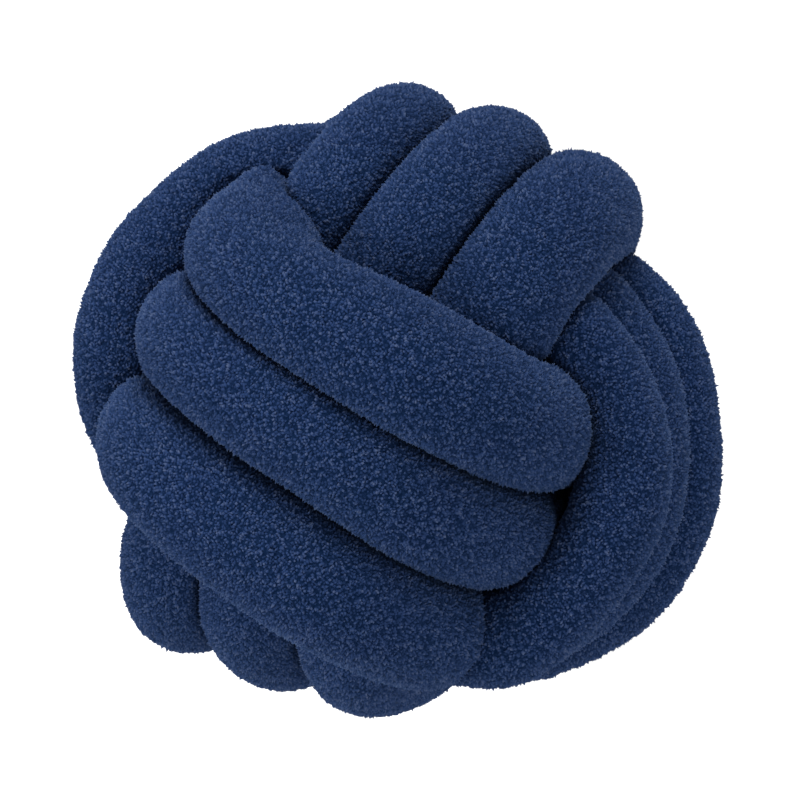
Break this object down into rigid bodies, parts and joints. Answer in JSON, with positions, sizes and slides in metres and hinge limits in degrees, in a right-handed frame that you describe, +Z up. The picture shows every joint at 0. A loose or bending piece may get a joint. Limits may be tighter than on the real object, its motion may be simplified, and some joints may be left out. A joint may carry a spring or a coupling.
{
  "type": "knot cushion",
  "caption": "Round knot cushion: a stuffed tube of navy looped-pile cloth wound into a ball of crossing strands, resting on its back.",
  "frame": {"origin": "middle of the cushion's bounding box, on the surface that it rests on", "axes": "+Z up out of the cushion's front, +X along the strands of the front towards their tucked right end, +Y towards the three side strands at the top of the front"},
  "size_m": [0.3181, 0.3259, 0.3188],
  "materials": {
    "looped_pile": "navy blue looped-pile cloth with small tight curls, matt, a little lighter on the tips of its curls"
  },
  "bodies": {
    "root": {"knotted_tube": "looped_pile"}
  },
  "joints": []
}
